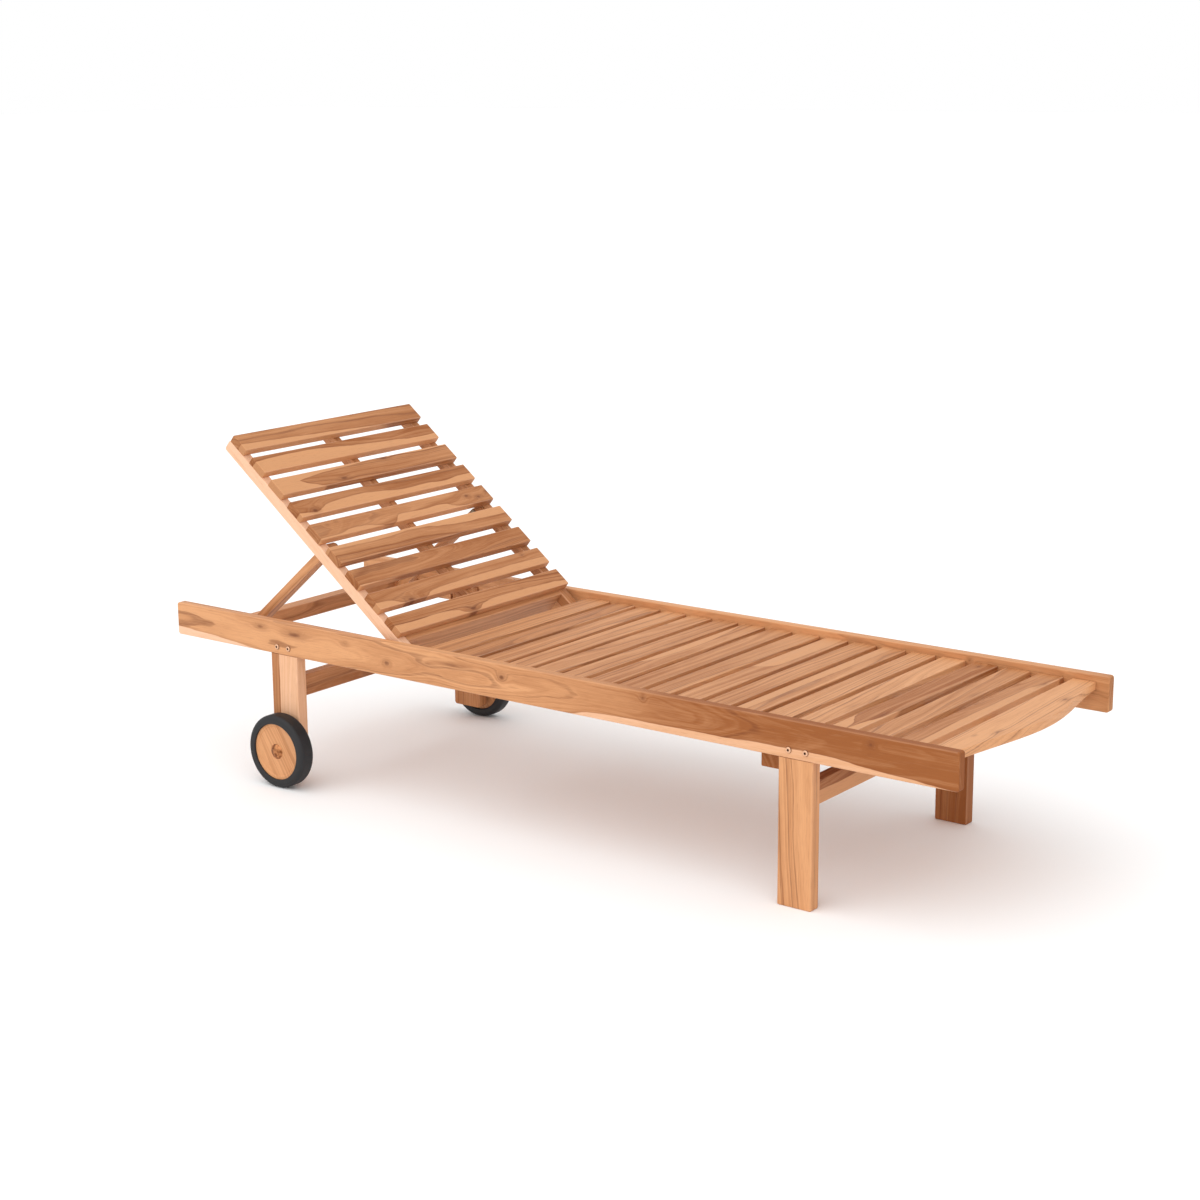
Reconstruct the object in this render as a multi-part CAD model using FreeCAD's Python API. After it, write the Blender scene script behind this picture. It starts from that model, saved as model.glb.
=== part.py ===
import FreeCAD, Part
import math
import os

# Reclining sun lounger in solid teak, with an adjustable slatted back on a prop and two wheels at the
# head end. Millimetres. +X points to the foot end, -Y is the sitter's right, +Z is up. The origin is on
# the ground, at the middle of the object's length and width.

V = FreeCAD.Vector
X_AXIS, Y_AXIS, Z_AXIS = V(1, 0, 0), V(0, 1, 0), V(0, 0, 1)
ORIGIN = V(0, 0, 0)
SIDES = (("right", -1), ("left", 1))

# ---- driving dimensions ----
FINE_EASE = 2.0              # radii of the planed boards' eased long edges
PLAIN_EASE = 2.5
RAIL_EASE = 3.0
CUT_END_EASE = 1.0           # and of their sawn ends
SLAT_END_EASE = 1.5

RAIL_LENGTH = 2000.0
FOOT_OVERHANG = 9.5          # the crest of the bowed foot slat passes the rail ends by this much
OVERALL_WIDTH = 644.0        # over the outer faces of the side rails
RAIL_THICKNESS = 22.0
RAIL_BOTTOM = 293.0
RAIL_TOP = 367.5

FRONT_LEG_WIDTH = 75.0
REAR_LEG_WIDTH = 78.0
LEG_THICKNESS = 28.0
FRONT_LEG_AT = 1660.0        # leg centres, measured from the head end of the rails
REAR_LEG_AT = 335.0
REAR_LEG_BOTTOM = 34.0
LAP_DEPTH = 11.0             # the legs' tongues are let this deep into the rails' inner faces
TONGUE_TOP = 334.0
FRONT_FOOT_ROUND = 3.0       # radius of the legs' bottom corners
REAR_FOOT_ROUND = 7.0
RAIL_END_ROUND = 6.0         # radius of the rails' corners, seen from the side

STRETCHER = (27.0, 191.0, 239.0)      # thickness along X, bottom, top
BEARER_AT = (1571.0, 1616.0)
BEARER_BOTTOM = 260.0
HEAD_RAIL_AT = (715.0, 742.0)
LEDGER_WIDTH = 22.0
LEDGER_DEPTH = 20.0
LEDGER_END = 1950.0
SEAT_BATTEN_DEPTH = 30.0
SEAT_BATTEN_WIDTH = 24.0

SLAT_THICKNESS = 18.0
SLAT_TOP = 353.5
SLAT_WIDTH = 53.5
SLAT_END_GAP = 1.0
SLAT_EASE = 2.0              # radius of the slats' long edges
SEAT_SLATS = 17
FIRST_SLAT_WIDTH = 63.0
FIRST_SLAT_FOOT_EDGE = 769.0
SLAT_PITCH = 70.25
LAST_PITCH = 73.25           # the last three slats are spread a little wider
LAST_SLATS = 3
FOOT_SLAT_HEAD_EDGE = 1921.0
# The foot slat's bowed edge: (distance left of the middle, width there) between its ends and its crest.
FOOT_SLAT_END_WIDTHS = (46.0, 50.0)
FOOT_SLAT_CREST = 20.0
FOOT_SLAT_RIGHT = (-160.0, 67.5)
FOOT_SLAT_LEFT = ((140.0, 75.5), (220.0, 60.0))

REST_TILT = 38.36            # the back's angle above flat, at rest
HINGE_AT = 682.6
HINGE_HEIGHT = 322.5
STILE_DEPTH = 26.0
STILE_THICKNESS = 25.0
STILE_LENGTH = 674.0         # from the hinge to the top end
BACK_WIDTH = 582.0           # over the stiles, and the length of the slats
BACK_SLATS = 9
BACK_SLAT_WIDTH = 48.0
BACK_SLAT_PITCH = 70.5
LOWEST_BACK_SLAT = 59.0      # from the hinge to the lowest slat's lower edge
BACK_RAIL = (47.0, 74.0)     # along the back, from the hinge
BACK_RAIL_DEPTH = 56.0
BACK_BATTEN_OFFSET = 8.0
BACK_BATTEN_WIDTH = 23.0
BACK_BATTEN_TOP = 671.0      # from the hinge to its top end
STILE_TOP_ROUND = 5.0

PROP_PIVOT = 337.4           # from the hinge along the stiles
PROP_LEG_ANGLE = 40.7        # below level, at rest
PROP_LEG_LENGTH = 352.0
PROP_LEG_SECTION = (20.0, 28.0)       # in the plane of the motion, across it
PROP_LEG_GAP = 1.5           # between a stile and the prop leg beside it
CROSSBAR_AT = 148.0
CROSSBAR_HEIGHT = 321.9
CROSSBAR_SECTION = (36.0, 35.0)

RACK_AT = (22.0, 292.0)
RACK_HEIGHTS = (294.0, 333.0)
RACK_CLEARANCE = 0.8         # between the back's sides and the racks
NOTCH_AT = (44.0, 96.0, 148.0, 200.0, 252.0)
NOTCH_WIDTH = 38.0
NOTCH_BOTTOM = 305.0
NOTCH_ROUND = 4.0

WHEEL_AT = 341.0
WHEEL_RADIUS = 82.5
DISC_RADIUS = 63.0
WHEEL_GAP = 5.0              # filled by the axle washer
TYRE_WIDTH = 40.0
TYRE_SHOULDER = 10.0
TYRE_BEAD_EASE = 2.5
DISC_FACE_RECESS = 4.5
DISC_THICKNESS = 28.0
DISC_RIM = 6.0               # width of the raised rim round the disc's outer face
DISC_RIM_SLOPE = 2.0
DISC_RIM_RISE = 1.5
HUB_RADIUS = 17.0
HUB_RISE = 7.5               # above the disc's face inside the rim
AXLE_RADIUS = 5.0
AXLE_END_DEPTH = 3.0         # from the disc's rim to the outer end of the axle
AXLE_TAIL = 10.0             # past the leg's inner face
AXLE_NUT_RADIUS = 9.2
AXLE_NUT_HEIGHT = 8.0
AXLE_WASHER_RADIUS = 13.0
WASHER_PLAY = 0.3

PIN_RADIUS = 5.0
PIN_IN_RAIL = 12.0
PIN_BLIND = 5.0              # wood left between a blind hinge pin and the stile's inner face
SPACER_RADIUS = 11.0
SPACER_PLAY = 0.2
PROP_PIN_RADIUS = 4.0
PROP_PIN_IN_STILE = 13.0
PROP_PIN_HEAD_RADIUS = 8.0
PROP_PIN_HEAD_HEIGHT = 3.0
PROP_PIN_PLAY = 0.3
RUNNING_CLEARANCE = 0.05
SCREW_HEAD_RADIUS = 6.3
SCREW_HEAD_RISE = 2.6        # above the rail's face
SCREW_RECESS = 0.6
SCREW_HEAD_FLAT = 0.3        # height of the head's rim that is not rounded
SCREW_SOCKET = (2.4, 2.0)    # distance to a corner, depth
SCREW_SHANK_RADIUS = 2.5
SCREW_POINT_DEPTH = 3.0      # short of the leg's inner face
SCREW_HEIGHT = 309.5
FRONT_SCREWS = (-15.0, 22.0)          # along X from each leg's centre
REAR_SCREWS = (-19.0, 15.0)

# ---- worked out from them ----
HEAD_X = -(RAIL_LENGTH + FOOT_OVERHANG) / 2
RAIL_OUTER = OVERALL_WIDTH / 2
RAIL_INNER = RAIL_OUTER - RAIL_THICKNESS
LEG_INNER = RAIL_OUTER - LEG_THICKNESS
SLAT_BOTTOM = SLAT_TOP - SLAT_THICKNESS
SLAT_HALF = RAIL_INNER - SLAT_END_GAP
BACK_HALF = BACK_WIDTH / 2
STILE_INNER = BACK_HALF - STILE_THICKNESS
PROP_OUTER = STILE_INNER - PROP_LEG_GAP
PROP_INNER = PROP_OUTER - PROP_LEG_SECTION[1]
TYRE_INNER = RAIL_OUTER + WHEEL_GAP
TYRE_OUTER = TYRE_INNER + TYRE_WIDTH
DISC_FACE = TYRE_OUTER - DISC_FACE_RECESS
DISC_WEB_FACE = DISC_FACE - DISC_RIM_RISE
DISC_BACK = DISC_FACE - DISC_THICKNESS
HINGE = V(HEAD_X + HINGE_AT, 0, HINGE_HEIGHT)


def from_head(distance):
    """X of a point at this distance from the head end of the rails."""
    return HEAD_X + distance


def span(a, b, side):
    """A Y range at these distances from the middle, on one side."""
    return tuple(sorted((side * a, side * b)))


# ---- shapes ----
def block(x, y, z):
    """A square-edged box between these limits."""
    return Part.makeBox(x[1] - x[0], y[1] - y[0], z[1] - z[0], V(x[0], y[0], z[0]))


def runs_along(edge, axis):
    """True for a straight edge along an axis."""
    return isinstance(edge.Curve, Part.Line) and abs(edge.Curve.Direction.dot(axis)) > 0.999


def long_edges(shape, axis):
    """The straight edges that run along an axis."""
    return [edge for edge in shape.Edges if runs_along(edge, axis)]


def side_edges(shape):
    """Every edge except the straight ones along Y."""
    return [edge for edge in shape.Edges if not runs_along(edge, Y_AXIS)]


def end_edges(shape, axis):
    """The edges round the two end faces that an axis passes through."""
    heights = [vertex.Point.dot(axis) for vertex in shape.Vertexes]
    found = []
    for edge in shape.Edges:
        ends = [vertex.Point.dot(axis) for vertex in edge.Vertexes]
        for limit in (min(heights), max(heights)):
            if all(abs(end - limit) < 1e-4 for end in ends):
                found.append(edge)
    return found


def board(x, y, z, grain, ease, end_ease=0):
    """A planed board with its long edges, and its ends if they show, eased."""
    shape = block(x, y, z)
    shape = shape.makeFillet(ease, long_edges(shape, grain))
    if end_ease:
        shape = shape.makeFillet(end_ease, end_edges(shape, grain))
    return shape


def rod(radius, y, x, z):
    """A round bar along Y."""
    return Part.makeCylinder(radius, y[1] - y[0], V(x, y[0], z), Y_AXIS)


def hexagon(radius, y, x, z):
    """A hexagonal prism along Y, with this distance from its centre to a corner."""
    corners = []
    for step in range(7):
        turn = math.radians(60 * step)
        corners.append(V(x + radius * math.cos(turn), y[0], z + radius * math.sin(turn)))
    return Part.Face(Part.makePolygon(corners)).extrude(V(0, y[1] - y[0], 0))


def turned(outline, x, z, side):
    """A solid of revolution about a line along Y, from (radius, distance from the middle) corners."""
    points = [V(x + radius, side * distance, z) for radius, distance in outline]
    face = Part.Face(Part.makePolygon(points + points[:1]))
    return face.revolve(V(x, 0, z), Y_AXIS, 360)


def tilt_back(shape):
    """Moves a shape made flat, with the hinge at the origin, to the back's place at rest."""
    shape.rotate(ORIGIN, Y_AXIS, REST_TILT)
    shape.translate(HINGE)
    return shape


# ---- frame ----
def leg(at, width, bottom, side, corner):
    """A leg with its tongue, which fits a rebate in the rail's inner face."""
    centre = from_head(at)
    x = (centre - width / 2, centre + width / 2)
    shape = block(x, span(LEG_INNER, RAIL_OUTER, side), (bottom, TONGUE_TOP))
    low = [e for e in long_edges(shape, Y_AXIS) if e.CenterOfMass.z < bottom + 1]
    shape = shape.makeFillet(corner, low)
    shape = shape.makeFillet(PLAIN_EASE, long_edges(shape, Z_AXIS))
    shoulder = block((x[0] - 1, x[1] + 1), span(RAIL_INNER + LAP_DEPTH, RAIL_OUTER + 1, side),
                     (RAIL_BOTTOM, TONGUE_TOP + 1))
    return shape.cut(shoulder)


def side_rail(side, legs):
    """A side rail with rounded ends, rebated for the tongues of its legs."""
    x = (from_head(0), from_head(RAIL_LENGTH))
    shape = block(x, span(RAIL_INNER, RAIL_OUTER, side), (RAIL_BOTTOM, RAIL_TOP))
    shape = shape.makeFillet(RAIL_END_ROUND, long_edges(shape, Y_AXIS))
    shape = shape.makeFillet(RAIL_EASE, side_edges(shape))
    for piece in legs:
        shape = shape.cut(piece)
    return shape


def screw_places(side):
    """Where the leg screws go, as (x, side)."""
    places = []
    for at, offsets in ((FRONT_LEG_AT, FRONT_SCREWS), (REAR_LEG_AT, REAR_SCREWS)):
        places += [(from_head(at + offset), side) for offset in offsets]
    return places


def leg_screw(x, side):
    """A round-headed screw with a hexagon socket, through the rail into the leg's tongue."""
    top = RAIL_OUTER + SCREW_HEAD_RISE
    base = RAIL_OUTER - SCREW_RECESS
    head = rod(SCREW_HEAD_RADIUS, span(base, top, side), x, SCREW_HEIGHT)
    rim = [e for e in head.Edges if abs(abs(e.CenterOfMass.y) - top) < 0.01]
    head = head.makeFillet(SCREW_HEAD_RISE - SCREW_HEAD_FLAT, rim)
    corner, depth = SCREW_SOCKET
    socket = hexagon(corner, span(top - depth, top + 1, side), x, SCREW_HEIGHT)
    return head.cut(socket).fuse(screw_shank(x, side))


def screw_shank(x, side):
    """A leg screw's shank, up to the underside of its head."""
    y = span(LEG_INNER + SCREW_POINT_DEPTH, RAIL_OUTER - SCREW_RECESS, side)
    return rod(SCREW_SHANK_RADIUS, y, x, SCREW_HEIGHT)


def screw_hole(x, side):
    """The counterbored hole that a leg screw fills."""
    y = span(RAIL_OUTER - SCREW_RECESS, RAIL_OUTER + 1, side)
    return rod(SCREW_HEAD_RADIUS, y, x, SCREW_HEIGHT).fuse(screw_shank(x, side))


def stretcher(at):
    """A cross rail between a pair of legs."""
    thickness, bottom, top = STRETCHER
    x = (from_head(at) - thickness / 2, from_head(at) + thickness / 2)
    return board(x, (-LEG_INNER, LEG_INNER), (bottom, top), Y_AXIS, PLAIN_EASE)


def rack(side):
    """A notched strip on a rail's inner face, whose notches take the ends of the prop's crossbar."""
    x = (from_head(RACK_AT[0]), from_head(RACK_AT[1]))
    y = span(BACK_HALF + RACK_CLEARANCE, RAIL_INNER, side)
    shape = block(x, y, RACK_HEIGHTS)
    for at in NOTCH_AT:
        notch_x = (from_head(at) - NOTCH_WIDTH / 2, from_head(at) + NOTCH_WIDTH / 2)
        notch = block(notch_x, (y[0] - 1, y[1] + 1), (NOTCH_BOTTOM, RACK_HEIGHTS[1] + 2 * NOTCH_ROUND))
        low = [e for e in long_edges(notch, Y_AXIS) if e.CenterOfMass.z < NOTCH_BOTTOM + 1]
        shape = shape.cut(notch.makeFillet(NOTCH_ROUND, low))
    return shape


def ledger(side):
    """The strip along a rail's inner face that carries the ends of the seat slats."""
    x = (from_head(HEAD_RAIL_AT[1]), from_head(LEDGER_END))
    y = span(RAIL_INNER - LEDGER_WIDTH, RAIL_INNER, side)
    return board(x, y, (SLAT_BOTTOM - LEDGER_DEPTH, SLAT_BOTTOM), X_AXIS, FINE_EASE)


# ---- seat ----
def seat_slat_edges():
    """The (head edge, foot edge) of each seat slat, measured from the head end."""
    edges = []
    foot = FIRST_SLAT_FOOT_EDGE
    for number in range(SEAT_SLATS):
        width = SLAT_WIDTH if number else FIRST_SLAT_WIDTH
        edges.append((foot - width, foot))
        foot += SLAT_PITCH if number < SEAT_SLATS - LAST_SLATS - 1 else LAST_PITCH
    return edges


def seat_slat(head, foot):
    """One seat slat, across the frame."""
    return board((from_head(head), from_head(foot)), (-SLAT_HALF, SLAT_HALF),
                 (SLAT_BOTTOM, SLAT_TOP), Y_AXIS, SLAT_EASE, SLAT_END_EASE)


def foot_slat():
    """The end slat, whose outer edge is bowed."""
    head = from_head(FOOT_SLAT_HEAD_EDGE)
    crest = RAIL_LENGTH + FOOT_OVERHANG - FOOT_SLAT_HEAD_EDGE
    outline = [(-SLAT_HALF, FOOT_SLAT_END_WIDTHS[0]), FOOT_SLAT_RIGHT, (FOOT_SLAT_CREST, crest)]
    outline += [*FOOT_SLAT_LEFT, (SLAT_HALF, FOOT_SLAT_END_WIDTHS[1])]
    points = [V(head + width, y, SLAT_BOTTOM) for y, width in outline]
    bow = Part.BSplineCurve()
    bow.interpolate(points)
    corners = [points[0], V(head, -SLAT_HALF, SLAT_BOTTOM), V(head, SLAT_HALF, SLAT_BOTTOM), points[-1]]
    wire = Part.Wire(Part.makePolygon(corners).Edges + [bow.toShape()])
    shape = Part.Face(wire).extrude(V(0, 0, SLAT_THICKNESS))
    level = [e for e in shape.Edges if abs(e.Vertexes[0].Z - e.Vertexes[-1].Z) < 0.01]
    sides = [e for e in level if abs(e.Vertexes[0].Y - e.Vertexes[-1].Y) > 1]
    return shape.makeFillet(SLAT_EASE, sides)


# ---- back, made flat with the hinge at the origin and the top end towards -X ----
def stile(side):
    """A side member of the back, rounded about its hinge pin."""
    y = span(STILE_INNER, BACK_HALF, side)
    half = STILE_DEPTH / 2
    shape = block((-STILE_LENGTH, 0), y, (-half, half)).fuse(rod(half, y, 0, 0)).removeSplitter()
    top = [e for e in long_edges(shape, Y_AXIS) if e.CenterOfMass.x < -STILE_LENGTH + 1]
    shape = shape.makeFillet(STILE_TOP_ROUND, top)
    shape = shape.makeFillet(FINE_EASE, side_edges(shape))
    bore = span(STILE_INNER + PIN_BLIND - 1, BACK_HALF + 1, side)
    shape = shape.cut(rod(PIN_RADIUS + RUNNING_CLEARANCE, bore, 0, 0))
    shape = shape.cut(prop_pin(side))
    return tilt_back(shape)


def back_slat(number):
    """One slat of the back, counted from the top."""
    low = LOWEST_BACK_SLAT + BACK_SLAT_PITCH * (BACK_SLATS - number)
    half = STILE_DEPTH / 2
    return tilt_back(board((-low - BACK_SLAT_WIDTH, -low), (-BACK_HALF, BACK_HALF),
                           (half, half + SLAT_THICKNESS), Y_AXIS, SLAT_EASE, SLAT_END_EASE))


def back_bottom_rail():
    """The cross rail between the stiles, just above the hinge."""
    half = STILE_DEPTH / 2
    x = (-BACK_RAIL[1], -BACK_RAIL[0])
    z = (half - BACK_RAIL_DEPTH, half)
    return tilt_back(board(x, (-STILE_INNER, STILE_INNER), z, Y_AXIS, PLAIN_EASE))


def back_batten():
    """The lengthwise batten under the middle of the back slats."""
    half = STILE_DEPTH / 2
    y = (BACK_BATTEN_OFFSET - BACK_BATTEN_WIDTH / 2, BACK_BATTEN_OFFSET + BACK_BATTEN_WIDTH / 2)
    return tilt_back(board((-BACK_BATTEN_TOP, -BACK_RAIL[1]), y, (-half, half), X_AXIS, FINE_EASE))


def back_pin(side):
    """A hinge pin, fast in the rail and blind in the stile."""
    y = span(STILE_INNER + PIN_BLIND, RAIL_INNER + PIN_IN_RAIL, side)
    return rod(PIN_RADIUS, y, HINGE.x, HINGE.z)


def back_spacer(side):
    """The washer that fills the space between a stile and its rail."""
    y = span(BACK_HALF + SPACER_PLAY, RAIL_INNER, side)
    return rod(SPACER_RADIUS, y, HINGE.x, HINGE.z).cut(rod(PIN_RADIUS, y, HINGE.x, HINGE.z))


def prop_pin(side):
    """A headed pin through a prop leg into its stile, in the back's flat frame."""
    under_head = PROP_INNER - PROP_PIN_PLAY
    y = span(under_head, STILE_INNER + PROP_PIN_IN_STILE, side)
    shank = rod(PROP_PIN_RADIUS, y, -PROP_PIVOT, 0)
    head_y = span(under_head - PROP_PIN_HEAD_HEIGHT, under_head, side)
    return shank.fuse(rod(PROP_PIN_HEAD_RADIUS, head_y, -PROP_PIVOT, 0))


# ---- prop ----
def crossbar():
    """The bar whose ends stand in the notches of the racks."""
    half_x, half_z = CROSSBAR_SECTION[0] / 2, CROSSBAR_SECTION[1] / 2
    centre = from_head(CROSSBAR_AT)
    return board((centre - half_x, centre + half_x), (-BACK_HALF, BACK_HALF),
                 (CROSSBAR_HEIGHT - half_z, CROSSBAR_HEIGHT + half_z), Y_AXIS, PLAIN_EASE, CUT_END_EASE)


def prop_leg(side, bar):
    """A prop leg, from its pivot on a stile to the crossbar that it is let into."""
    half = PROP_LEG_SECTION[0] / 2
    y = span(PROP_INNER, PROP_OUTER, side)
    shape = block((-PROP_LEG_LENGTH, 0), y, (-half, half)).fuse(rod(half, y, 0, 0)).removeSplitter()
    shape = shape.makeFillet(FINE_EASE, side_edges(shape))
    shape = shape.cut(rod(PROP_PIN_RADIUS + RUNNING_CLEARANCE, (y[0] - 1, y[1] + 1), 0, 0))
    shape.rotate(ORIGIN, Y_AXIS, -PROP_LEG_ANGLE)
    tilt = math.radians(REST_TILT)
    shape.translate(HINGE + V(-PROP_PIVOT * math.cos(tilt), 0, PROP_PIVOT * math.sin(tilt)))
    return shape.cut(bar)


# ---- wheels ----
def circles(shape, radius):
    """The edges that run right round a wheel at this radius."""
    return [e for e in shape.Edges
            if abs(e.BoundBox.ZLength - 2 * radius) < 0.1 and e.BoundBox.YLength < 0.1]


def tyre(side):
    """A solid rubber tyre with round shoulders."""
    outline = [(DISC_RADIUS, TYRE_INNER), (WHEEL_RADIUS, TYRE_INNER),
               (WHEEL_RADIUS, TYRE_OUTER), (DISC_RADIUS, TYRE_OUTER)]
    shape = turned(outline, from_head(WHEEL_AT), WHEEL_RADIUS, side)
    shape = shape.makeFillet(TYRE_SHOULDER, circles(shape, WHEEL_RADIUS))
    return shape.makeFillet(TYRE_BEAD_EASE, circles(shape, DISC_RADIUS))


def wheel_disc(side):
    """The turned wooden disc of a wheel, with a raised rim round its outer face."""
    bore = AXLE_RADIUS + RUNNING_CLEARANCE
    rim = DISC_RADIUS - DISC_RIM
    outline = [(bore, DISC_BACK), (DISC_RADIUS, DISC_BACK), (DISC_RADIUS, DISC_FACE), (rim, DISC_FACE),
               (rim - DISC_RIM_SLOPE, DISC_WEB_FACE), (bore, DISC_WEB_FACE)]
    return turned(outline, from_head(WHEEL_AT), WHEEL_RADIUS, side)


def hub_cap(side):
    """A domed cap over the end of the axle."""
    x = from_head(WHEEL_AT)
    ball = (HUB_RADIUS ** 2 + HUB_RISE ** 2) / (2 * HUB_RISE)
    top = DISC_WEB_FACE + HUB_RISE
    dome = Part.makeSphere(ball, V(x, side * (top - ball), WHEEL_RADIUS))
    return dome.common(rod(HUB_RADIUS, span(DISC_WEB_FACE, top + 1, side), x, WHEEL_RADIUS))


def axle_bolt(side):
    """A stub axle through a rear leg."""
    y = span(LEG_INNER - AXLE_TAIL, DISC_FACE - AXLE_END_DEPTH, side)
    return rod(AXLE_RADIUS, y, from_head(WHEEL_AT), WHEEL_RADIUS)


def axle_nut(side):
    """The nut inside the leg."""
    x = from_head(WHEEL_AT)
    y = span(LEG_INNER - AXLE_NUT_HEIGHT, LEG_INNER, side)
    return hexagon(AXLE_NUT_RADIUS, y, x, WHEEL_RADIUS).cut(rod(AXLE_RADIUS, y, x, WHEEL_RADIUS))


def axle_washer(side):
    """The washer between the leg and the wheel."""
    x = from_head(WHEEL_AT)
    y = span(RAIL_OUTER, DISC_BACK - WASHER_PLAY, side)
    return rod(AXLE_WASHER_RADIUS, y, x, WHEEL_RADIUS).cut(rod(AXLE_RADIUS, y, x, WHEEL_RADIUS))


# ---- assembly ----
def frame_nodes():
    """The rails, legs, stretchers and everything fixed between them."""
    nodes = {}
    for name, side in SIDES:
        front = leg(FRONT_LEG_AT, FRONT_LEG_WIDTH, 0, side, FRONT_FOOT_ROUND)
        rear = leg(REAR_LEG_AT, REAR_LEG_WIDTH, REAR_LEG_BOTTOM, side, REAR_FOOT_ROUND)
        rail = side_rail(side, (front, rear)).cut(back_pin(side))
        for place in screw_places(side):
            rail = rail.cut(screw_hole(*place))
            front = front.cut(screw_hole(*place))
            rear = rear.cut(screw_hole(*place))
        nodes["side_rail_" + name] = rail
        nodes["front_leg_" + name] = front
        nodes["rear_leg_" + name] = rear.cut(axle_bolt(side))
        nodes["seat_ledger_" + name] = ledger(side).cut(front)
        nodes["prop_rack_" + name] = rack(side)
    nodes["front_stretcher"] = stretcher(FRONT_LEG_AT)
    nodes["rear_stretcher"] = stretcher(REAR_LEG_AT)
    batten_bottom = SLAT_BOTTOM - SEAT_BATTEN_DEPTH
    nodes["seat_bearer"] = board([from_head(at) for at in BEARER_AT], (-RAIL_INNER, RAIL_INNER),
                                 (BEARER_BOTTOM, batten_bottom), Y_AXIS, PLAIN_EASE)
    nodes["seat_head_rail"] = board([from_head(at) for at in HEAD_RAIL_AT], (-RAIL_INNER, RAIL_INNER),
                                    (RAIL_BOTTOM, SLAT_BOTTOM), Y_AXIS, PLAIN_EASE)
    nodes["seat_centre_batten"] = board((from_head(HEAD_RAIL_AT[1]), from_head(LEDGER_END)),
                                        (-SEAT_BATTEN_WIDTH / 2, SEAT_BATTEN_WIDTH / 2),
                                        (batten_bottom, SLAT_BOTTOM), X_AXIS, FINE_EASE)
    for number, (head, foot) in enumerate(seat_slat_edges(), 1):
        nodes["seat_slat_%02d" % number] = seat_slat(head, foot)
    nodes["foot_slat"] = foot_slat()
    return nodes


def back_nodes():
    """The reclining back and its prop."""
    nodes = {}
    for name, side in SIDES:
        nodes["back_stile_" + name] = stile(side)
    for number in range(1, BACK_SLATS + 1):
        nodes["back_slat_%d" % number] = back_slat(number)
    nodes["back_bottom_rail"] = back_bottom_rail()
    nodes["back_centre_batten"] = back_batten()
    bar = crossbar()
    nodes["prop_crossbar"] = bar
    for name, side in SIDES:
        nodes["prop_leg_" + name] = prop_leg(side, bar)
    return nodes


def wheel_nodes():
    """The two wheels."""
    nodes = {}
    for name, side in SIDES:
        nodes["tyre_" + name] = tyre(side)
        nodes["wheel_disc_" + name] = wheel_disc(side)
        nodes["hub_cap_" + name] = hub_cap(side)
    return nodes


def fastener_nodes():
    """Identical fasteners, each kind in one node."""
    sides = [side for name, side in SIDES]
    screws = [leg_screw(*place) for side in sides for place in screw_places(side)]
    axles = []
    for side in sides:
        axles += [axle_bolt(side), axle_nut(side), axle_washer(side)]
    return {
        "leg_screws": Part.makeCompound(screws),
        "axle_bolts": Part.makeCompound(axles),
        "back_pivot_pins": Part.makeCompound([back_pin(side) for side in sides]),
        "back_pivot_spacers": Part.makeCompound([back_spacer(side) for side in sides]),
        "prop_pivot_pins": Part.makeCompound([tilt_back(prop_pin(side)) for side in sides]),
    }


def build():
    """Every node by name."""
    nodes = {}
    for group in (frame_nodes, back_nodes, wheel_nodes, fastener_nodes):
        nodes.update(group())
    return nodes


os.makedirs("parts", exist_ok=True)
for node_name, node_shape in sorted(build().items()):
    node_shape.exportStep("parts/" + node_name + ".step")
    print(node_name, len(node_shape.Solids), node_shape.isValid(), round(node_shape.Volume / 1000, 1))
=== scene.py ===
import math
import random

import bpy
import numpy as np
from mathutils import Matrix, Vector

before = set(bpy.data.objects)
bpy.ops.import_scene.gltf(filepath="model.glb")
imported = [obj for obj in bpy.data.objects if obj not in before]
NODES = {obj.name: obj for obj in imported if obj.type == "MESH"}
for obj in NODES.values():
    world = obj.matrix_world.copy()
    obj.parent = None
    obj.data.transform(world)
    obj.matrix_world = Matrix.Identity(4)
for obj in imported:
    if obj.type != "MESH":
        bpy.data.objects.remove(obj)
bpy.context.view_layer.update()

# Reclining teak sun lounger. Metres. +X is the foot end, -Y the sitter's right, +Z up.

random_boards = random.Random(7)

# The back leans at this angle at rest, and the legs of its prop at that one.
BACK_TILT = math.radians(38.36)
PROP_TILT = math.radians(-40.7)

ALONG_X, ALONG_Y, ALONG_Z = Vector((1, 0, 0)), Vector((0, 1, 0)), Vector((0, 0, 1))
DISC_GRAIN = Vector((-0.6, 0, 0.8))


def tilted(angle):
    """The direction from a pivot towards the head end, raised by an angle."""
    return Vector((-math.cos(angle), 0, math.sin(angle)))


# ---- colours, as linear light ----
def srgb(red, green, blue):
    """A linear colour from ordinary 0-255 values."""
    def channel(value):
        part = value / 255
        return part / 12.92 if part <= 0.04045 else ((part + 0.055) / 1.055) ** 2.4
    return (channel(red), channel(green), channel(blue), 1.0)


HEART_LIGHT = srgb(216, 156, 107)
HEART_DARK = srgb(148, 83, 32)
SAPWOOD = srgb(200, 143, 98)
PALE_SAPWOOD = srgb(250, 206, 174)
STREAK = srgb(106, 50, 12)
KNOT = srgb(108, 54, 20)

OUT_OF_REACH = 9.0       # a distance at which no knot or screw has any effect
NO_SAPWOOD = -1.0        # well outside any band of sapwood, in metres

# How close the growth rings lie, as noise cells per metre of radius, and each figure's share of the tone.
RING_DENSITY, LINE_DENSITY, DARK_RING_DENSITY = 170.0, 820.0, 190.0
RING_SHARE, LINE_SHARE, CLOUD_SHARE, FIBRE_SHARE, FIGURE_SHARE = 0.30, 0.13, 0.26, 0.17, 0.14
RUBBED_EDGE = 0.0030     # reach of the paler rubbing on long edges, its depths in both faces added up


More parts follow.
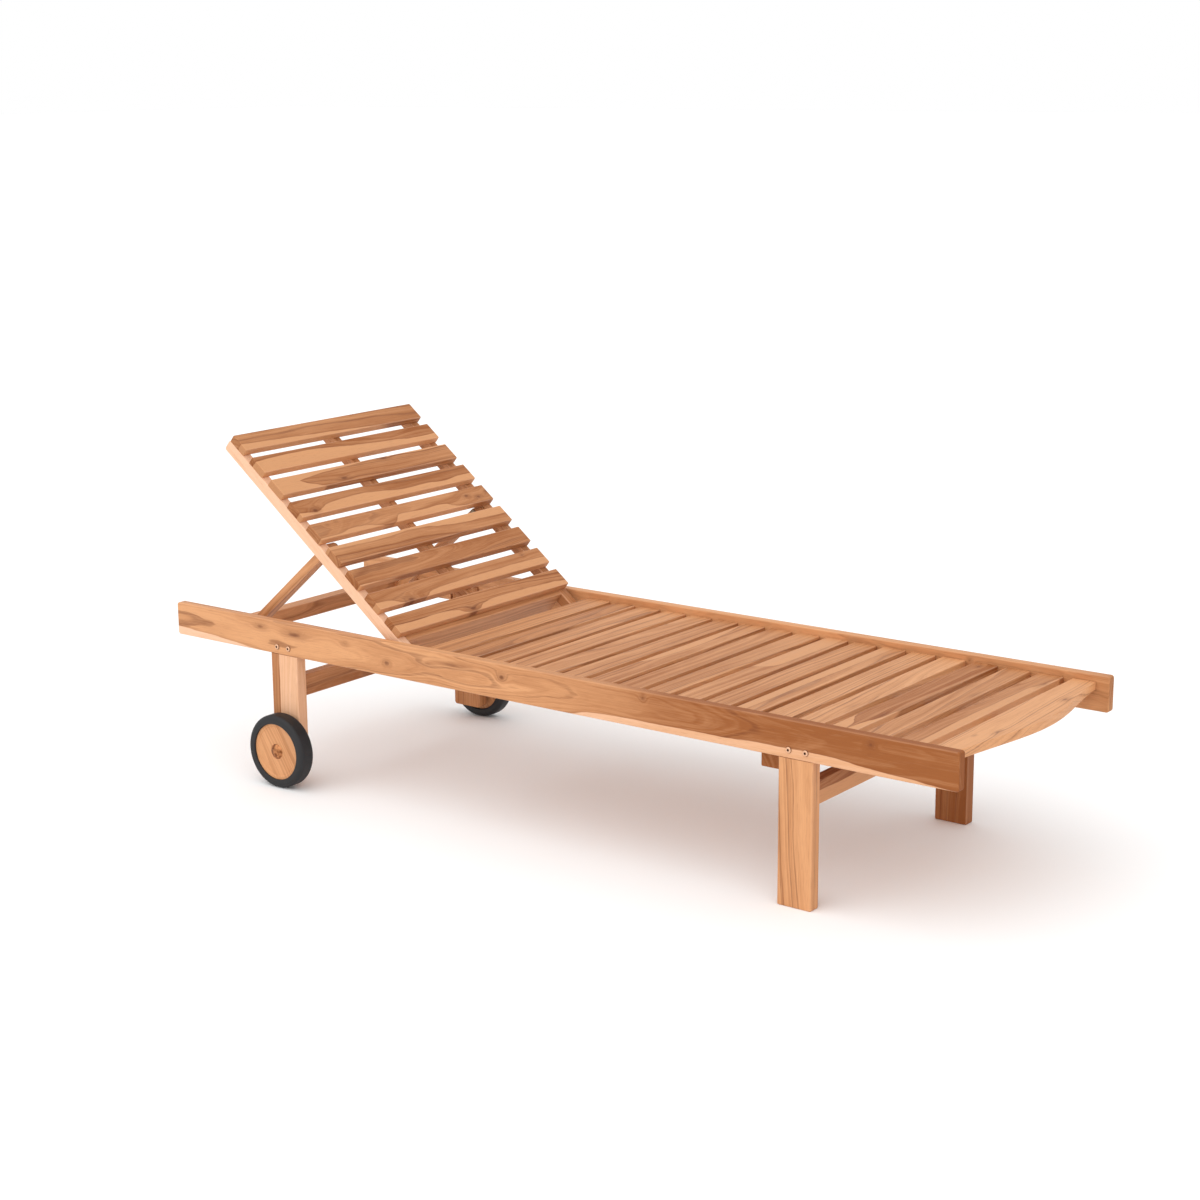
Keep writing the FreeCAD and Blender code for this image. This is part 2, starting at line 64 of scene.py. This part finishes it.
# ---- a small kit for node graphs ----
class Graph:
    """Adds nodes to a tree. An input is a socket, or a constant that goes on the socket itself."""

    def __init__(self, tree):
        self.tree = tree

    def add(self, kind, inputs=(), **settings):
        node = self.tree.nodes.new("ShaderNode" + kind)
        for name, value in settings.items():
            setattr(node, name, value)
        for key, value in dict(inputs).items():
            if isinstance(value, bpy.types.NodeSocket):
                self.tree.links.new(value, node.inputs[key])
            else:
                node.inputs[key].default_value = value
        return node

    def math(self, operation, a, b=0.0, c=0.0, clamp=False):
        return self.add("Math", {0: a, 1: b, 2: c}, operation=operation, use_clamp=clamp).outputs[0]

    def vector(self, operation, a, b=(0, 0, 0)):
        node = self.add("VectorMath", {0: a, 1: b}, operation=operation)
        return node.outputs["Value" if operation in ("DOT_PRODUCT", "LENGTH") else "Vector"]

    def ramp(self, value, low, high, to_low=0.0, to_high=1.0):
        """A smooth step between two values."""
        node = self.add("MapRange", {"Value": value, "From Min": low, "From Max": high,
                                     "To Min": to_low, "To Max": to_high})
        node.interpolation_type = "SMOOTHSTEP"
        return node.outputs["Result"]

    def noise(self, vector, detail=2.0, roughness=0.5, scale=1.0, distortion=0.0):
        return self.add("TexNoise", {"Vector": vector, "Scale": scale, "Detail": detail,
                                     "Roughness": roughness, "Distortion": distortion}).outputs["Fac"]

    def noise_line(self, value, detail=1.0, roughness=0.5):
        """Noise along one number."""
        node = self.add("TexNoise", {}, noise_dimensions="1D")
        self.tree.links.new(value, node.inputs["W"])
        node.inputs["Scale"].default_value = 1.0
        node.inputs["Detail"].default_value = detail
        node.inputs["Roughness"].default_value = roughness
        return node.outputs["Fac"]

    def mix(self, factor, a, b, blend="MIX"):
        node = self.add("Mix", {"Factor": factor}, data_type="RGBA", blend_type=blend)
        for socket, value in ((node.inputs[6], a), (node.inputs[7], b)):
            if isinstance(value, bpy.types.NodeSocket):
                self.tree.links.new(value, socket)
            else:
                socket.default_value = value
        return node.outputs[2]


# ---- teak ----
def knot_group():
    """Adds one knot, or with a long stretch one dark streak, to the two running fields."""
    tree = bpy.data.node_groups.new("knot", "ShaderNodeTree")
    for name, kind in (("Board", "NodeSocketVector"), ("Place", "NodeSocketVector"),
                       ("Size", "NodeSocketFloat"), ("Stretch", "NodeSocketFloat"),
                       ("Swell", "NodeSocketFloat"), ("Far", "NodeSocketFloat")):
        tree.interface.new_socket(name, in_out="INPUT", socket_type=kind)
    for name in ("Swell", "Far"):
        tree.interface.new_socket(name, in_out="OUTPUT", socket_type="NodeSocketFloat")
    g = Graph(tree)
    source = tree.nodes.new("NodeGroupInput").outputs
    squash = g.add("CombineXYZ", {0: g.math("DIVIDE", 1.0, source["Stretch"]), 1: 1.0, 2: 0.35}).outputs[0]
    way = g.vector("MULTIPLY", g.vector("SUBTRACT", source["Board"], source["Place"]), squash)
    far = g.math("DIVIDE", g.vector("LENGTH", way), source["Size"])
    pull = g.math("EXPONENT", g.math("MULTIPLY", g.math("POWER", far, 1.5), -0.6))
    swell = g.math("MULTIPLY", g.math("MULTIPLY", pull, source["Size"]), 1.2)
    out = tree.nodes.new("NodeGroupOutput")
    tree.links.new(g.math("ADD", source["Swell"], swell), out.inputs["Swell"])
    tree.links.new(g.math("MINIMUM", source["Far"], far), out.inputs["Far"])
    return tree


TEAK_INPUTS = (("Board", "NodeSocketVector"), ("Facing", "NodeSocketFloat"), ("Half", "NodeSocketVector"),
               ("Seed", "NodeSocketFloat"), ("Pith", "NodeSocketVector"), ("Slant", "NodeSocketVector"),
               ("Tone", "NodeSocketFloat"), ("Sapwood", "NodeSocketFloat"), ("Pale", "NodeSocketFloat"),
               ("Bleach", "NodeSocketFloat"), ("Swell", "NodeSocketFloat"), ("Far", "NodeSocketFloat"))


def teak_group():
    """Board coordinates to colour, roughness and surface normal. X is along the grain, Y across the
    board and Z through it, in metres from its middle. Growth rings are shells round a pith line that
    passes near the board at a slant, so that faces show flames and straight grain by turns. Pale is
    the distance inside a band of sapwood, and Bleach how white that band is."""
    tree = bpy.data.node_groups.new("teak", "ShaderNodeTree")
    for name, kind in TEAK_INPUTS:
        tree.interface.new_socket(name, in_out="INPUT", socket_type=kind)
    for name, kind in (("Color", "NodeSocketColor"), ("Roughness", "NodeSocketFloat"),
                       ("Normal", "NodeSocketVector")):
        tree.interface.new_socket(name, in_out="OUTPUT", socket_type=kind)
    g = Graph(tree)
    source = tree.nodes.new("NodeGroupInput").outputs
    board = source["Board"]
    shift = g.add("CombineXYZ", {0: source["Seed"], 1: g.math("MULTIPLY", source["Seed"], 1.7),
                                 2: g.math("MULTIPLY", source["Seed"], 2.3)}).outputs[0]

    def streaked(along, across, **settings):
        """Noise drawn out along the grain."""
        scaled = g.vector("MULTIPLY", board, (along, across, across))
        return g.noise(g.vector("ADD", scaled, shift), **settings)

    # distance from the pith, bent by slow drift and by knots
    along = g.add("SeparateXYZ", {0: board}).outputs[0]
    thrice = g.add("CombineXYZ", {0: along, 1: along, 2: along}).outputs[0]
    drift = g.vector("MULTIPLY", source["Slant"], thrice)
    from_pith = g.vector("SUBTRACT", g.vector("SUBTRACT", board, source["Pith"]), drift)
    flat = g.vector("LENGTH", g.vector("MULTIPLY", from_pith, (0, 1, 1)))
    slow = g.math("MULTIPLY_ADD", streaked(2.6, 9, detail=2.0), 0.026, -0.013)
    quick = g.math("MULTIPLY_ADD", streaked(10, 55, detail=2.0), 0.0034, -0.0017)
    bend = g.math("ADD", slow, quick)
    radius = g.math("ADD", g.math("ADD", flat, bend), source["Swell"])

    ring_cells = g.math("MULTIPLY_ADD", radius, RING_DENSITY, source["Seed"])
    rings = g.ramp(g.noise_line(ring_cells, 2.0), 0.26, 0.76)
    line_cells = g.math("MULTIPLY_ADD", radius, LINE_DENSITY, source["Seed"])
    lines = g.ramp(g.noise_line(line_cells, 1.0), 0.30, 0.78)
    other_seed = g.math("MULTIPLY_ADD", source["Seed"], 3.1, 17.0)
    dark_cells = g.math("MULTIPLY_ADD", radius, DARK_RING_DENSITY, other_seed)
    dark_ring = g.ramp(g.noise_line(dark_cells, 2.0), 0.60, 0.70)
    fibre = streaked(9, 620, detail=3.0, roughness=0.6)
    pores = g.ramp(streaked(34, 1300, detail=1.0), 0.30, 0.40, 1.0, 0.0)
    cloud = streaked(2.4, 17, detail=3.0)
    figure = streaked(26, 48, detail=2.0)

    tone = g.math("MULTIPLY", rings, RING_SHARE)
    tone = g.math("MULTIPLY_ADD", lines, LINE_SHARE, tone)
    tone = g.math("MULTIPLY_ADD", g.ramp(cloud, 0.3, 0.7), CLOUD_SHARE, tone)
    tone = g.math("MULTIPLY_ADD", g.ramp(fibre, 0.3, 0.7), FIBRE_SHARE, tone)
    tone = g.math("MULTIPLY_ADD", figure, FIGURE_SHARE, tone)
    tone = g.math("ADD", tone, g.math("SUBTRACT", source["Tone"], 0.5), clamp=True)
    colour = g.mix(tone, HEART_LIGHT, HEART_DARK)
    colour = g.mix(g.math("MULTIPLY", dark_ring, g.math("MULTIPLY_ADD", fibre, 0.9, -0.05)), colour, STREAK)

    # sapwood, outside a ring or along an edge, with a dark line where it meets the heart
    past_ring = g.math("SUBTRACT", radius, source["Sapwood"])
    ragged = g.math("MULTIPLY_ADD", streaked(16, 120, detail=3.0), 0.0050, -0.0025)
    edge_depth = g.math("ADD", g.math("MULTIPLY_ADD", bend, 0.45, source["Pale"]),
                        g.math("MULTIPLY_ADD", source["Swell"], -0.6, ragged))
    depth = g.math("MAXIMUM", past_ring, edge_depth)
    sap = g.ramp(depth, -0.0006, 0.0012)
    palest = g.mix(source["Bleach"], SAPWOOD, PALE_SAPWOOD)
    pale = g.mix(g.math("MULTIPLY", tone, 0.75), palest, HEART_LIGHT)
    colour = g.mix(g.math("MULTIPLY", sap, 0.92), colour, pale)
    rim = g.math("MULTIPLY", g.ramp(depth, -0.0060, -0.0006), g.math("SUBTRACT", 1.0, sap))
    colour = g.mix(g.math("MULTIPLY", rim, 0.22), colour, STREAK)
    colour = g.mix(g.math("MULTIPLY", pores, 0.20), colour, STREAK)

    ragged_far = g.math("MULTIPLY_ADD", figure, 0.5, source["Far"])
    core = g.ramp(ragged_far, 0.75, 1.25, 1.0, 0.0)
    halo = g.ramp(source["Far"], 0.7, 2.4, 0.26, 0.0)
    colour = g.mix(halo, colour, STREAK)
    colour = g.mix(g.math("MULTIPLY", core, 0.78), colour, KNOT)

    # end grain drinks more oil and looks darker
    end = g.ramp(source["Facing"], 0.70, 0.95)
    speck = g.noise(g.vector("ADD", g.vector("MULTIPLY", board, (200, 1900, 1900)), shift), detail=2.0)
    dark_end = g.mix(g.math("MULTIPLY_ADD", speck, 0.6, 0.05), colour, STREAK)
    colour = g.mix(g.math("MULTIPLY", end, 0.75), colour, dark_end)

    # long edges are rubbed a little paler
    reach = g.vector("SUBTRACT", source["Half"], g.vector("ABSOLUTE", board))
    sides = g.add("SeparateXYZ", {0: reach}).outputs
    to_edge = g.math("ADD", sides[1], sides[2])
    near_edge = g.ramp(to_edge, 0.0, RUBBED_EDGE, 1.0, 0.0)
    rubbed = g.math("MULTIPLY", near_edge, g.ramp(cloud, 0.35, 0.6, 0.3, 1.0))
    colour = g.mix(g.math("MULTIPLY", rubbed, 0.32), colour, PALE_SAPWOOD)

    rough = g.math("MULTIPLY_ADD", tone, 0.12, 0.50)
    rough = g.math("MULTIPLY_ADD", end, 0.15, rough)
    rough = g.math("MULTIPLY_ADD", rubbed, -0.08, rough)
    height = g.math("MULTIPLY_ADD", fibre, 0.8, g.math("MULTIPLY", lines, 0.35))
    height = g.math("MULTIPLY_ADD", pores, -0.7, height)
    height = g.math("MULTIPLY_ADD", core, -0.8, height)
    bump = g.add("Bump", {"Strength": 0.25, "Distance": 0.0006, "Height": height})
    out = tree.nodes.new("NodeGroupOutput")
    tree.links.new(colour, out.inputs["Color"])
    tree.links.new(rough, out.inputs["Roughness"])
    tree.links.new(bump.outputs["Normal"], out.inputs["Normal"])
    return tree


TEAK = teak_group()
KNOT_FIELD = knot_group()


def board_extent(node, axes):
    """The middle of a board and its half sizes along three directions."""
    mesh = NODES[node].data
    points = np.array([v.co for v in mesh.vertices], float)
    along = points @ np.array([list(axis) for axis in axes]).T
    low, high = along.min(0), along.max(0)
    middle = sum((axis * float((a + b) / 2) for axis, a, b in zip(axes, low, high)), Vector((0, 0, 0)))
    return middle, Vector((high - low) / 2)


def new_material(name):
    """An empty material with its graph and its shader."""
    material = bpy.data.materials.new(name)
    material.use_nodes = True
    tree = material.node_tree
    tree.nodes.clear()
    g = Graph(tree)
    shader = g.add("BsdfPrincipled")
    out = g.add("OutputMaterial")
    tree.links.new(shader.outputs["BSDF"], out.inputs["Surface"])
    return material, g, shader


def dress(node, material):
    """Gives a CAD node its finish."""
    data = NODES[node].data
    if not data.materials:
        data.materials.append(material)
    for index in range(len(data.materials)):
        data.materials[index] = material


def fill(g, node, values):
    """Links or sets a node's inputs."""
    for name, value in values.items():
        if isinstance(value, bpy.types.NodeSocket):
            g.tree.links.new(value, node.inputs[name])
        else:
            node.inputs[name].default_value = value


def smooth_line(g, along, length, points):
    """A smooth line over the board's length, through (place in millimetres, value) points."""
    low, high = min(h for _, h in points), max(h for _, h in points)
    rise = max(high - low, 0.001)
    node = g.add("FloatCurve", {"Value": g.math("MULTIPLY_ADD", along, 0.5 / length, 0.5)})
    curve = node.mapping.curves[0]
    spots = [((place / 1000 / length + 1) / 2, (h - low) / rise) for place, h in points]
    curve.points[0].location, curve.points[1].location = spots[0], spots[-1]
    for spot in spots[1:-1]:
        curve.points.new(*spot)
    node.mapping.update()
    return g.math("MULTIPLY_ADD", node.outputs[0], rise, low)


def edge_line(g, along, length, points):
    """The same, with heights in millimetres."""
    return g.math("MULTIPLY", smooth_line(g, along, length, points), 0.001)


def teak_board(node, grain, across, tone=0.5, sapwood=None, pith=None, slant=None, seed=None,
               below=None, above=None, knots=(), bleach=0.0):
    """Teak with the grain along one direction and the board's width along another. Sapwood lies below
    or above a line across the board. Knots are (along, across, size, stretch), in millimetres. The
    tone is one number, or (place, number) points along the board."""
    through = grain.cross(across)
    middle, half = board_extent(node, (grain, across, through))
    material, g, shader = new_material("teak_" + node)
    draw = random_boards
    picked_seed = round(draw.uniform(1, 90), 2)
    side = draw.choice((-1, 1))
    picked_pith = (0, side * draw.uniform(0.010, 0.060), -draw.uniform(0.025, 0.075))
    picked_slant = (0, draw.uniform(-0.05, 0.05), draw.uniform(-0.04, 0.04))
    picked_sap = draw.uniform(0.085, 0.14)
    place = g.add("TexCoord")
    local = g.vector("SUBTRACT", place.outputs["Object"], tuple(middle))
    parts = [g.vector("DOT_PRODUCT", local, tuple(axis)) for axis in (grain, across, through)]
    board = g.add("CombineXYZ", dict(enumerate(parts))).outputs[0]
    facing = g.math("ABSOLUTE", g.vector("DOT_PRODUCT", place.outputs["Normal"], tuple(grain)))
    if isinstance(tone, tuple):
        tone = smooth_line(g, parts[0], half[0], tone)
    pale = NO_SAPWOOD
    if below:
        pale = g.math("SUBTRACT", edge_line(g, parts[0], half[0], below), parts[1])
    if above:
        over = g.math("SUBTRACT", parts[1], edge_line(g, parts[0], half[0], above))
        pale = g.math("MAXIMUM", pale, over)
    swell, far = 0.0, OUT_OF_REACH
    for along, height, size, stretch in knots:
        spot = (along / 1000, height / 1000, 0.0)
        knot = g.add("Group", {}, node_tree=KNOT_FIELD)
        fill(g, knot, {"Board": board, "Place": spot, "Size": size / 1000, "Stretch": stretch,
                       "Swell": swell, "Far": far})
        swell, far = knot.outputs["Swell"], knot.outputs["Far"]
    group = g.add("Group", {}, node_tree=TEAK)
    fill(g, group, {"Board": board, "Facing": facing, "Half": tuple(half), "Seed": seed or picked_seed,
                    "Pith": pith or picked_pith, "Slant": slant or picked_slant, "Tone": tone,
                    "Sapwood": sapwood or picked_sap, "Pale": pale, "Bleach": bleach, "Swell": swell,
                    "Far": far})
    g.tree.links.new(group.outputs["Color"], shader.inputs["Base Color"])
    g.tree.links.new(group.outputs["Roughness"], shader.inputs["Roughness"])
    g.tree.links.new(group.outputs["Normal"], shader.inputs["Normal"])
    shader.inputs["Specular IOR Level"].default_value = 0.35
    dress(node, material)


# How the back's slats, from the top down, and the seat's, from the head end, are figured. Along runs to
# the sitter's left; across runs up the back, or towards the foot end.
BACK_SLAT_FIGURE = (
    dict(tone=0.66, below=((-296, -4), (-100, -12), (80, -20), (296, -34))),
    dict(tone=0.80, below=((-296, 11), (-180, 14), (0, 5), (150, -3), (230, -9), (296, -6))),
    dict(tone=0.66, below=((-296, 30), (-240, 26), (-214, 2), (-180, -14), (-130, -26), (296, -32)),
         above=((-296, -26), (-240, -10), (-214, 5), (-150, 14), (0, 20), (90, 28), (296, 30)),
         knots=((-90, -14, 5.9, 2.5), (70, 20, 5.9, 3.0))),
    dict(tone=0.80, below=((-296, -10), (-250, -14), (-220, -10), (-180, 2), (-90, 6), (60, -8), (130, -6),
                           (180, -10), (240, -5), (296, -4)),
         knots=((-243, -13, 7.1, 1.6),)),
    dict(tone=0.64, below=((-296, -20), (-220, -16), (-170, -11), (-100, -21), (-60, -24), (-20, -4),
                           (60, -6), (110, -3), (150, -14), (190, -22), (296, -26)),
         knots=((-244, 12, 3.5, 1.6), (-215, 16, 3.5, 1.6), (215, 2, 5.9, 1.8), (250, -8, 5.9, 1.8),
                (290, 3, 5.9, 1.4))),
    dict(tone=0.66, above=((-296, 14), (-120, 12), (-20, 18), (60, 10), (180, 2), (296, 2))),
    dict(tone=0.74, below=((-296, -22), (296, -30))),
    dict(tone=0.68, below=((-296, -6), (-250, -9), (-215, -22), (-160, -26), (-120, -12), (-60, -7),
                           (100, -3), (296, -4)),
         knots=((-190, -20, 7.1, 2.0), (225, 14, 4.7, 1.5))),
    dict(tone=0.70, below=((-296, -3), (-220, -5), (-150, -3), (-90, -8), (-55, -22), (-30, -20), (0, -8),
                           (80, -2), (200, -6), (296, -14)),
         knots=((-45, -16, 7.1, 2.0),)),
)
SEAT_SLAT_FIGURE = (
    dict(tone=0.42), dict(tone=0.60, above=((-299, 30), (60, 26), (299, 24))),
    dict(tone=0.44), dict(tone=0.34), dict(tone=0.40),
    dict(tone=0.48, knots=((70, 14, 3.5, 8.0),)),
    dict(tone=0.50, below=((-299, -40), (-110, -28), (-60, -10), (80, -3), (200, -12), (299, -30))),
    dict(tone=0.58), dict(tone=0.46),
    dict(tone=0.46, below=((-299, -40), (-10, -30), (20, -2), (60, 12), (299, 16))),
    dict(tone=0.50), dict(tone=0.40, below=((-299, -6), (0, -4), (299, -2))),
    dict(tone=0.36), dict(tone=0.22, knots=((-130, 14, 3.5, 5.0),)),
    dict(tone=0.74, above=((-299, 6), (-230, 10), (-200, 16), (-120, 26), (299, 30)),
         below=((-299, 4), (-240, 0), (-200, -16), (-150, -28), (299, -32)),
         knots=((-150, 16, 4.7, 5.0), (270, -2, 5.9, 1.8))),
    dict(tone=0.50, knots=((70, 16, 3.5, 5.0),)),
    dict(tone=0.60, above=((-299, 10), (150, 6), (200, 12), (299, 30)), knots=((225, 20, 4.7, 5.0),)),
)


def teak_boards():
    """Every wooden piece, each with its own grain."""
    back = tilted(BACK_TILT)
    prop = tilted(PROP_TILT)
    up_back = back.cross(ALONG_Y)
    for side in ("right", "left"):
        teak_board("prop_rack_" + side, ALONG_X, ALONG_Z, tone=0.20)
        teak_board("seat_ledger_" + side, ALONG_X, ALONG_Y, tone=0.4)
    teak_board("back_stile_right", back, up_back, tone=0.10, sapwood=0.012, bleach=0.7)
    teak_board("back_stile_left", back, up_back, tone=0.55)
    teak_board("side_rail_right", ALONG_X, ALONG_Z, bleach=0.75,
               tone=((-1005, 0.10), (-700, 0.24), (0, 0.32), (220, 0.46), (420, 0.90), (1005, 1.06)),
               seed=31.7, pith=(0, 0.004, -0.07), slant=(0, 0.012, -0.02),
               below=((-1000, -18), (-880, -26), (-760, -34), (-640, -42), (0, -44), (180, -28), (300, -22),
                      (520, -20), (660, -17), (800, -24), (930, -31), (1000, -36)),
               knots=((-735, 18, 5.9, 2.5), (-630, 13, 7.1, 4.0), (-480, 16, 4.7, 2.0), (-360, -8, 5.9, 1.5),
                      (-180, 15, 5.9, 7.0), (-245, 8, 4.7, 5.0), (-45, 10, 7.1, 1.3), (310, 24, 5.9, 1.2),
                      (820, 20, 5.9, 1.2)))
    teak_board("side_rail_left", ALONG_X, ALONG_Z, tone=((-1005, 0.12), (600, 0.20), (1005, 0.62)), seed=58.3,
               knots=((330, 18, 3.5, 5.0), (690, 24, 4.7, 1.4)))
    teak_board("front_leg_right", ALONG_Z, ALONG_X, tone=0.24, seed=12.4)
    teak_board("front_leg_left", ALONG_Z, ALONG_X, tone=0.95, seed=44.1)
    teak_board("rear_leg_right", ALONG_Z, ALONG_X, tone=0.66, seed=27.9, bleach=0.8,
               above=((-147, -14), (0, -15), (147, -14)))
    teak_board("rear_leg_left", ALONG_Z, ALONG_X, tone=0.66, seed=71.2)
    teak_board("prop_leg_right", prop, prop.cross(ALONG_Y), tone=0.34)
    teak_board("prop_leg_left", prop, prop.cross(ALONG_Y), tone=0.5)
    teak_board("front_stretcher", ALONG_Y, ALONG_Z, tone=0.90, below=((-294, 6), (0, 2), (294, 4)))
    teak_board("rear_stretcher", ALONG_Y, ALONG_Z, tone=0.58)
    for name, tone in (("seat_head_rail", 0.60), ("seat_bearer", 0.88), ("prop_crossbar", 0.30)):
        teak_board(name, ALONG_Y, ALONG_Z, tone=tone)
    teak_board("back_bottom_rail", ALONG_Y, tilted(BACK_TILT + math.pi / 2), tone=0.36, seed=63.0)
    teak_board("seat_centre_batten", ALONG_X, ALONG_Z, tone=0.6)
    teak_board("back_centre_batten", back, up_back, tone=0.6)
    for number, figure in enumerate(SEAT_SLAT_FIGURE, 1):
        teak_board("seat_slat_%02d" % number, ALONG_Y, ALONG_X, **figure)
    teak_board("foot_slat", ALONG_Y, ALONG_X, tone=0.12, seed=18.6,
               knots=((-125, 8, 4.7, 3.0), (148, 12, 5.9, 2.5), (-170, -16, 3.5, 2.0)))
    for number, figure in enumerate(BACK_SLAT_FIGURE, 1):
        teak_board("back_slat_%d" % number, ALONG_Y, back, **figure)


# ---- rubber, turned discs and metal ----
def rubber_material(name):
    material, g, shader = new_material(name)
    place = g.add("TexCoord").outputs["Object"]
    grain = g.noise(place, detail=4.0, scale=900.0)
    dust = g.noise(place, detail=3.0, scale=28.0)
    colour = g.mix(g.ramp(dust, 0.35, 0.75), srgb(13, 13, 15), srgb(30, 29, 32))
    g.tree.links.new(colour, shader.inputs["Base Color"])
    g.tree.links.new(g.ramp(dust, 0.2, 0.8, 0.50, 0.68), shader.inputs["Roughness"])
    bump = g.add("Bump", {"Strength": 0.25, "Distance": 0.0004, "Height": grain})
    g.tree.links.new(bump.outputs["Normal"], shader.inputs["Normal"])
    return material


def metal_material(name, light, dark, roughness):
    material, g, shader = new_material(name)
    place = g.add("TexCoord").outputs["Object"]
    tarnish = g.noise(place, detail=4.0, scale=160.0)
    scratch = g.noise(g.vector("MULTIPLY", place, (2600, 300, 900)), detail=2.0)
    colour = g.mix(g.ramp(tarnish, 0.38, 0.7), light, dark)
    g.tree.links.new(colour, shader.inputs["Base Color"])
    shader.inputs["Metallic"].default_value = 1.0
    dulled = g.ramp(tarnish, 0.2, 0.8, roughness - 0.08, roughness + 0.14)
    g.tree.links.new(dulled, shader.inputs["Roughness"])
    bump = g.add("Bump", {"Strength": 0.2, "Distance": 0.0002, "Height": scratch})
    g.tree.links.new(bump.outputs["Normal"], shader.inputs["Normal"])
    return material


# The leg screws' places along the rails and above the ground, the sizes of their heads, and the spread of the
# painted shade in their sockets and round their rims.
SCREW_HEIGHT = 0.3095
SCREW_AT = tuple((x, SCREW_HEIGHT) for x in (-0.689, -0.655, 0.640, 0.677))
SCREW_SOCKET_RADIUS, SCREW_RIM_RADIUS = 0.0028, 0.0063
SOCKET_BLUR, RIM_BLUR = 0.0006, 0.0009


def screw_material(name):
    """Bright bronze heads, with painted shade down in their sockets and in a ring where they meet the wood.
    """
    material, g, shader = new_material(name)
    place = g.add("TexCoord").outputs["Object"]
    flat = g.vector("MULTIPLY", place, (1, 0, 1))
    away = OUT_OF_REACH
    for x, z in SCREW_AT:
        away = g.math("MINIMUM", away, g.vector("LENGTH", g.vector("SUBTRACT", flat, (x, 0, z))))
    worn = g.noise(place, detail=3.0, scale=700.0)
    bright = g.mix(worn, srgb(246, 204, 172), srgb(206, 150, 112))
    # painted shade: the middle of each head, standing for its socket, and a ring round its edge against the
    # wood are darkened
    painted_socket_and_rim_shade = g.math("MAXIMUM", g.ramp(away, SCREW_SOCKET_RADIUS - SOCKET_BLUR, SCREW_SOCKET_RADIUS, 1.0, 0.0),
                   g.ramp(away, SCREW_RIM_RADIUS - RIM_BLUR, SCREW_RIM_RADIUS, 0.0, 0.8))
    g.tree.links.new(g.mix(painted_socket_and_rim_shade, bright, srgb(88, 46, 22)), shader.inputs["Base Color"])
    g.tree.links.new(g.ramp(worn, 0.3, 0.7, 0.26, 0.40), shader.inputs["Roughness"])
    shader.inputs["Metallic"].default_value = 0.8
    return material


def other_finishes():
    """Tyres, discs and metal."""
    rubber = rubber_material("tyre_rubber")
    bronze = metal_material("bronze", srgb(186, 126, 84), srgb(122, 72, 42), 0.30)
    steel = metal_material("steel", srgb(136, 116, 96), srgb(88, 68, 52), 0.42)
    for side in ("right", "left"):
        dress("tyre_" + side, rubber)
        dress("hub_cap_" + side, bronze)
        teak_board("wheel_disc_" + side, DISC_GRAIN, ALONG_Y.cross(DISC_GRAIN), tone=0.26)
    dress("leg_screws", screw_material("screw_bronze"))
    for name in ("axle_bolts", "back_pivot_pins", "back_pivot_spacers", "prop_pivot_pins"):
        dress(name, steel)


# ---- stage ----
CAMERA_PLACE = Vector((2.79695, -3.7624, 1.5556))
CAMERA_YAW, CAMERA_PITCH, CAMERA_ROLL = (math.radians(a) for a in (37.014, 13.304, -0.425))
CAMERA_LENS, CAMERA_SENSOR = 68.08, 36.0


def make_camera():
    """The camera looks along its own -Z, turned by yaw, pitch and roll."""
    back = Vector((math.sin(CAMERA_YAW) * math.cos(CAMERA_PITCH),
                   -math.cos(CAMERA_YAW) * math.cos(CAMERA_PITCH), math.sin(CAMERA_PITCH)))
    right = Vector((0, 0, 1)).cross(back).normalized()
    up = back.cross(right)
    c, s = math.cos(CAMERA_ROLL), math.sin(CAMERA_ROLL)
    axes = (c * right + s * up, c * up - s * right, back)
    data = bpy.data.cameras.new("camera")
    data.lens, data.sensor_width, data.clip_end = CAMERA_LENS, CAMERA_SENSOR, 200.0
    camera = bpy.data.objects.new("camera", data)
    bpy.context.scene.collection.objects.link(camera)
    turn = Matrix([[axes[col][row] for col in range(3)] for row in range(3)])
    camera.matrix_world = Matrix.Translation(CAMERA_PLACE) @ turn.to_4x4()
    bpy.context.scene.camera = camera


def make_floor():
    """A wide pale floor."""
    size = 60.0
    mesh = bpy.data.meshes.new("floor")
    corners = [(-size, -size, 0), (size, -size, 0), (size, size, 0), (-size, size, 0)]
    mesh.from_pydata(corners, [], [(0, 1, 2, 3)])
    floor = bpy.data.objects.new("floor", mesh)
    bpy.context.scene.collection.objects.link(floor)
    material, g, shader = new_material("pale_floor")
    shader.inputs["Base Color"].default_value = (0.96, 0.96, 0.96, 1)
    shader.inputs["Roughness"].default_value = 0.9
    shader.inputs["Specular IOR Level"].default_value = 0.1
    mesh.materials.append(material)


def make_sun(name, towards, strength, softness):
    """A soft light that shines from a direction."""
    data = bpy.data.lights.new(name, "SUN")
    data.energy = strength
    data.angle = math.radians(softness)
    light = bpy.data.objects.new(name, data)
    light.rotation_euler = Vector(towards).to_track_quat("Z", "Y").to_euler()
    bpy.context.scene.collection.objects.link(light)


def make_world(strength):
    """Even white light from all round, and a white background."""
    world = bpy.data.worlds.new("studio")
    world.use_nodes = True
    world.node_tree.nodes.clear()
    g = Graph(world.node_tree)
    seen = g.add("LightPath").outputs["Is Camera Ray"]
    level = g.ramp(seen, 0.0, 1.0, strength, 1.0)
    sky = g.add("Background", {"Color": (1, 1, 1, 1), "Strength": level})
    out = g.add("OutputWorld")
    g.tree.links.new(sky.outputs[0], out.inputs["Surface"])
    bpy.context.scene.world = world


make_camera()
make_floor()
make_world(strength=0.88)
make_sun("key", (-0.15, -0.80, 1.0), strength=1.15, softness=80)
make_sun("foot_fill", (0.9, -0.35, 0.5), strength=0.40, softness=80)
bpy.context.scene.view_settings.view_transform = "Standard"
teak_boards()
other_finishes()
